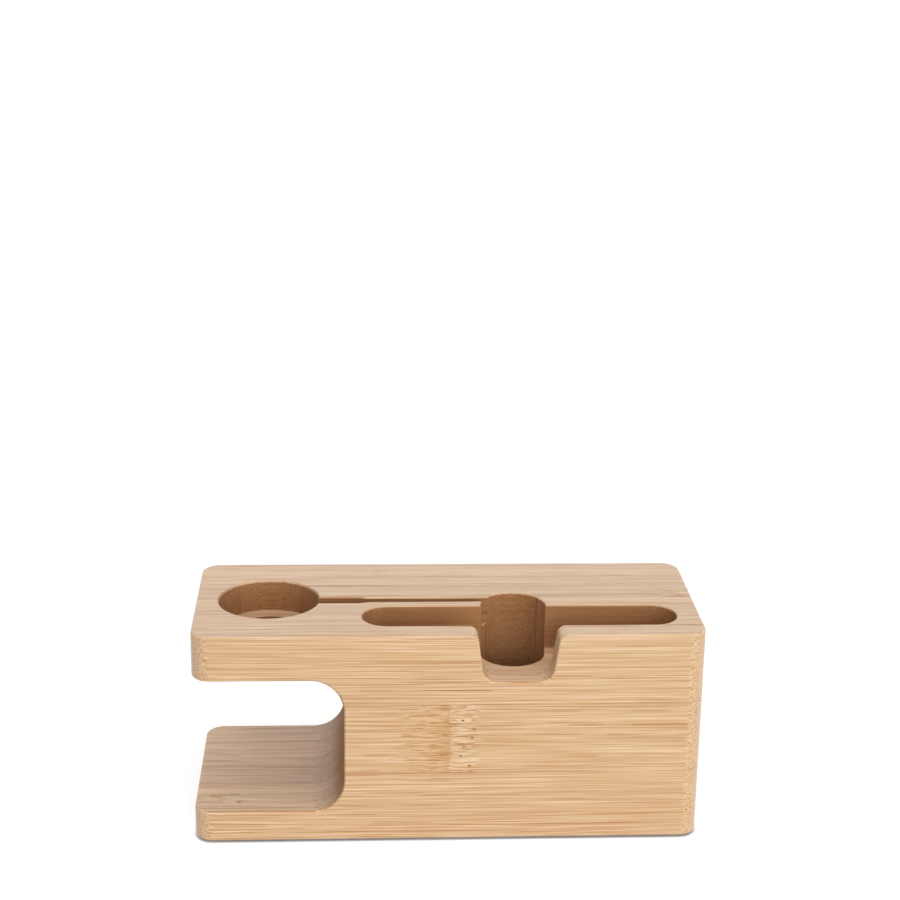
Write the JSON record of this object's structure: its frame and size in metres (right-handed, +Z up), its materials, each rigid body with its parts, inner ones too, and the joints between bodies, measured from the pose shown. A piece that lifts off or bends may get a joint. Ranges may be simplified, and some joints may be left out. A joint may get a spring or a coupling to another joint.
{
  "type": "charging station organizer",
  "caption": "Laminated bamboo desk stand with an upright phone slot, a finger notch, and an overhanging arm with a round seat for a watch charger, with a cord slit, well and groove.",
  "frame": {"origin": "bottom centre of the stand, at the soles of the anti-slip pads", "axes": "+X to the right along the length, towards the phone slot's end; +Y from the notched front to the back; +Z up"},
  "size_m": [0.14, 0.0546, 0.0614],
  "materials": {
    "bamboo": "satin, oiled and sanded",
    "pad_rubber": "matte"
  },
  "bodies": {
    "root": {"base_strip_01": "bamboo", "base_strip_02": "bamboo", "base_strip_03": "bamboo", "base_strip_04": "bamboo", "base_strip_05": "bamboo", "base_strip_06": "bamboo", "base_strip_07": "bamboo", "base_strip_08": "bamboo", "base_strip_09": "bamboo", "base_strip_10": "bamboo", "middle_strip_01": "bamboo", "middle_strip_02": "bamboo", "middle_strip_03": "bamboo", "middle_strip_04": "bamboo", "middle_strip_05": "bamboo", "middle_strip_06": "bamboo", "middle_strip_07": "bamboo", "middle_strip_08": "bamboo", "middle_strip_09": "bamboo", "middle_strip_10": "bamboo", "top_strip_01": "bamboo", "top_strip_02": "bamboo", "top_strip_03": "bamboo", "top_strip_04": "bamboo", "top_strip_05": "bamboo", "top_strip_06": "bamboo", "top_strip_07": "bamboo", "top_strip_08": "bamboo", "top_strip_09": "bamboo", "top_strip_10": "bamboo", "front_left_pad": "pad_rubber", "front_right_pad": "pad_rubber", "rear_left_pad": "pad_rubber", "rear_right_pad": "pad_rubber"}
  },
  "joints": []
}
